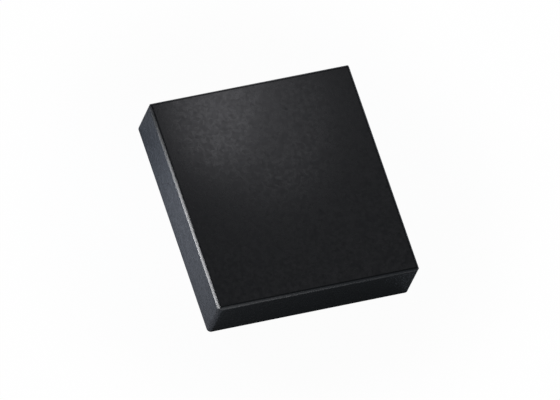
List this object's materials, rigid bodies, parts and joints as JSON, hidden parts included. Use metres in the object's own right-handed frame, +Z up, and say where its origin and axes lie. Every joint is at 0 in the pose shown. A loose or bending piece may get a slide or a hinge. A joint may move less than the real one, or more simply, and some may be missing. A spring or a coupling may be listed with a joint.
{
  "type": "wireless communication module",
  "caption": "Flat black moulded block with softly broken edges over a populated board; a land-grid radio module that is soldered to a carrier board by its underside.",
  "frame": {"origin": "centre of the land plane on the underside, which is the bottom centre of the block's box", "axes": "+X to the right across the shorter side, +Y from the front to the back along the longer side, +Z up out of the moulded top face"},
  "size_m": [0.0074, 0.008, 0.0018],
  "materials": {
    "moulded_epoxy": "satin black moulding compound, fine mottled grain",
    "laminate": "glass-fibre laminate",
    "solder_resist": "dark green solder resist",
    "via_copper": "plated copper",
    "land_gold": "thin gold over plated copper",
    "silicon": "ground and polished silicon",
    "solder": "reflowed solder, satin",
    "crystal_ceramic": "fired dark ceramic",
    "crystal_lid": "rolled plated lid",
    "quartz": "clear lapped quartz",
    "inductor_core": "pressed metal powder",
    "tin_plating": "matte tin plating",
    "filter_ceramic": "fired grey-blue ceramic",
    "capacitor_ceramic": "fired brown ceramic",
    "inductor_ceramic": "fired white ceramic",
    "resistor_coat": "black glass coat"
  },
  "bodies": {
    "root": {"mould_cap": "moulded_epoxy", "board": "laminate", "board_vias": "via_copper", "land_resist": "solder_resist", "signal_lands": "land_gold", "ground_lands": "land_gold", "index_land": "land_gold", "radio_chip": "silicon", "radio_chip_bumps": "solder", "memory_chip": "silicon", "memory_chip_bumps": "solder", "front_end_chip": "silicon", "front_end_bumps": "solder", "main_crystal_tray": "crystal_ceramic", "main_crystal_quartz": "quartz", "main_crystal_lid": "crystal_lid", "sleep_crystal_tray": "crystal_ceramic", "sleep_crystal_fork": "quartz", "sleep_crystal_lid": "crystal_lid", "power_inductor_core": "inductor_core", "power_inductor_clips": "tin_plating", "band_filter": "filter_ceramic", "band_filter_terminals": "tin_plating", "bulk_capacitors": "capacitor_ceramic", "bulk_capacitor_caps": "tin_plating", "bypass_capacitors": "capacitor_ceramic", "bypass_capacitor_caps": "tin_plating", "matching_inductors": "inductor_ceramic", "matching_inductor_caps": "tin_plating", "chip_resistors": "resistor_coat", "chip_resistor_caps": "tin_plating", "solder_joints": "solder"}
  },
  "joints": []
}
